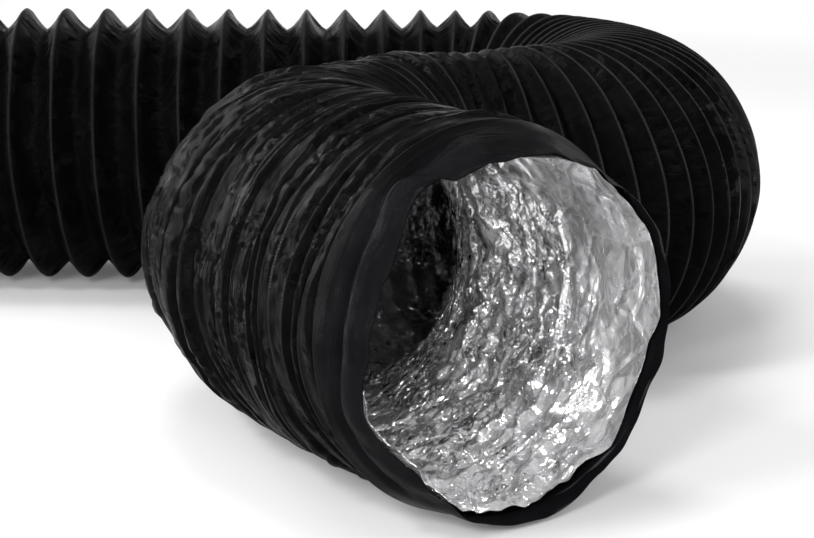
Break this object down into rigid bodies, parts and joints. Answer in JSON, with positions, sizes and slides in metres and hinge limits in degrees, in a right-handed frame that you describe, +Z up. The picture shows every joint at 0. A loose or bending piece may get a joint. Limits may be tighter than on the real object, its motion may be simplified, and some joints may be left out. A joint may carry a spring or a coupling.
{
  "type": "flexible air duct",
  "caption": "Flexible ribbed air duct laid in an S: black film jacket over a wire helix with a foil liner, both ends stretch and swing.",
  "frame": {"origin": "centre of the box around the duct, on the floor that it lies on", "axes": "+Z up; +X along the straight far end, towards the bends; the mouth faces +X and -Y"},
  "size_m": [0.659, 0.5142, 0.149],
  "materials": {
    "jacket": "black PVC-coated film, satin, creased between the ridges",
    "wire": "drawn spring-steel wire",
    "liner": "crinkled bright aluminium foil laminate"
  },
  "bodies": {
    "laid_run": {"jacket_mouth_stretch": "jacket", "wire_mouth_stretch": "wire", "liner_mouth_stretch": "liner", "jacket_left_bend": "jacket", "wire_left_bend": "wire", "liner_left_bend": "liner", "jacket_right_bend_near": "jacket", "wire_right_bend_near": "wire", "liner_right_bend_near": "liner", "jacket_right_bend_far": "jacket", "wire_right_bend_far": "wire", "liner_right_bend_far": "liner", "jacket_back_run": "jacket", "wire_back_run": "wire", "liner_back_run": "liner", "jacket_tail_stretch": "jacket", "wire_tail_stretch": "wire", "liner_tail_stretch": "liner"},
    "mouth_reach": {"jacket_mouth_swing": "jacket", "wire_mouth_swing": "wire", "liner_mouth_swing": "liner"},
    "mouth_tip": {"jacket_mouth_end": "jacket", "wire_mouth_end": "wire", "liner_mouth_end": "liner"},
    "tail_reach": {"jacket_tail_swing": "jacket", "wire_tail_swing": "wire", "liner_tail_swing": "liner"},
    "tail_tip": {"jacket_tail_end": "jacket", "wire_tail_end": "wire", "liner_tail_end": "liner"}
  },
  "joints": [
    {"name": "mouth_draw", "type": "slide", "parent": "laid_run", "child": "mouth_reach", "axis": [0.5793, -0.8151, 0], "range_m": [-0.02, 0.085], "deforming": ["jacket_mouth_stretch", "wire_mouth_stretch", "liner_mouth_stretch"]},
    {"name": "mouth_swing", "type": "hinge", "parent": "mouth_reach", "child": "mouth_tip", "pos_m": [0.16597, -0.17305, 0.07423], "axis": [0, 0, 1], "range_deg": [-18, 18], "deforming": ["jacket_mouth_swing", "wire_mouth_swing", "liner_mouth_swing"]},
    {"name": "tail_draw", "type": "slide", "parent": "laid_run", "child": "tail_reach", "axis": [-1, 0, 0], "range_m": [-0.09, 0.08], "deforming": ["jacket_tail_stretch", "wire_tail_stretch", "liner_tail_stretch"]},
    {"name": "tail_swing", "type": "hinge", "parent": "tail_reach", "child": "tail_tip", "pos_m": [-0.22896, 0.17853, 0.07423], "axis": [0, 0, 1], "range_deg": [-30, 30], "deforming": ["jacket_tail_swing", "wire_tail_swing", "liner_tail_swing"]}
  ]
}
